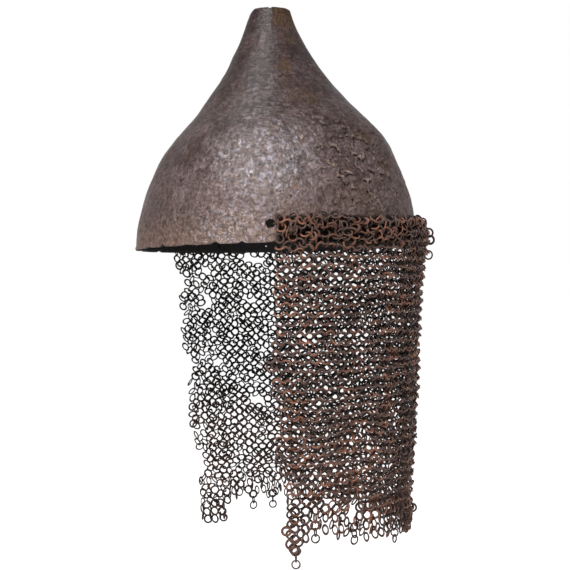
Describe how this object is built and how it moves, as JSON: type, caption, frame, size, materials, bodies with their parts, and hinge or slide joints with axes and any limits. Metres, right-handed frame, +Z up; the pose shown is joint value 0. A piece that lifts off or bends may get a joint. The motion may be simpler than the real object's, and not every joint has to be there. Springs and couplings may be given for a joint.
{
  "type": "conical helmet",
  "caption": "Conical forged iron helmet with an ogee skull drawn up to an open finial socket, and a curtain of riveted iron mail hung round its sides and back.",
  "frame": {"origin": "centre of the head opening, in the plane of the rim", "axes": "+Z up the helmet's axis to the finial socket, face towards -Y, wearer's left side towards +X"},
  "size_m": [0.237, 0.2334, 0.4338],
  "materials": {
    "skull_iron": "satin",
    "mail_iron": "matte",
    "ring_iron": "matte"
  },
  "bodies": {
    "helmet": {"skull": "skull_iron", "attachment_rings": "ring_iron", "mail_top_band": "mail_iron"},
    "upper_curtain": {"mail_upper_curtain": "mail_iron"},
    "lower_curtain": {"mail_middle_curtain": "mail_iron", "mail_lower_curtain": "mail_iron", "hem_rings_back": "ring_iron"},
    "left_corner": {"mail_left_corner": "mail_iron", "hem_rings_left": "ring_iron"},
    "right_corner": {"mail_right_corner": "mail_iron"},
    "left_tail_ring": {"loose_ring_left_tail": "ring_iron"},
    "left_front_ring": {"loose_ring_left_front": "ring_iron"},
    "left_side_ring": {"loose_ring_left_side": "ring_iron"},
    "left_back_ring": {"loose_ring_left_back": "ring_iron"},
    "right_front_ring": {"loose_ring_right_front": "ring_iron"},
    "right_side_ring": {"loose_ring_right_side": "ring_iron"}
  },
  "joints": [
    {"name": "curtain_sway_fore_aft", "type": "slide", "parent": "helmet", "child": "upper_curtain", "axis": [0, 1, 0], "range_m": [-0.012, 0.012]},
    {"name": "curtain_sway_sideways", "type": "slide", "parent": "upper_curtain", "child": "lower_curtain", "axis": [1, 0, 0], "range_m": [-0.012, 0.012]},
    {"name": "left_corner_swing", "type": "hinge", "parent": "lower_curtain", "child": "left_corner", "pos_m": [0.10908, 0.00954, -0.108], "axis": [0.0715, 0.0063, 0.9974], "range_deg": [-25, 40]},
    {"name": "right_corner_swing", "type": "hinge", "parent": "lower_curtain", "child": "right_corner", "pos_m": [-0.10908, 0.00954, -0.108], "axis": [0.0715, -0.0063, -0.9974], "range_deg": [-25, 40]},
    {"name": "left_tail_ring_swing", "type": "hinge", "parent": "left_corner", "child": "left_tail_ring", "pos_m": [0.09593, -0.02933, -0.2343], "axis": [-0.2924, -0.9563, 0], "range_deg": [-50, 50]},
    {"name": "left_front_ring_swing", "type": "hinge", "parent": "left_corner", "child": "left_front_ring", "pos_m": [0.09992, -0.01493, -0.2159], "axis": [-0.1478, -0.989, 0], "range_deg": [-50, 50]},
    {"name": "left_side_ring_swing", "type": "hinge", "parent": "lower_curtain", "child": "left_side_ring", "pos_m": [0.09855, 0.01738, -0.21996], "axis": [0.1736, -0.9848, 0], "range_deg": [-50, 50]},
    {"name": "left_back_ring_swing", "type": "hinge", "parent": "lower_curtain", "child": "left_back_ring", "pos_m": [0.08016, 0.0604, -0.22593], "axis": [0.6018, -0.7986, 0], "range_deg": [-50, 50]},
    {"name": "right_front_ring_swing", "type": "hinge", "parent": "lower_curtain", "child": "right_front_ring", "pos_m": [-0.09991, 0.01227, -0.2219], "axis": [0.1219, 0.9925, 0], "range_deg": [-50, 50]},
    {"name": "right_side_ring_swing", "type": "hinge", "parent": "lower_curtain", "child": "right_side_ring", "pos_m": [-0.09733, 0.02976, -0.22212], "axis": [0.2924, 0.9563, 0], "range_deg": [-50, 50]}
  ]
}
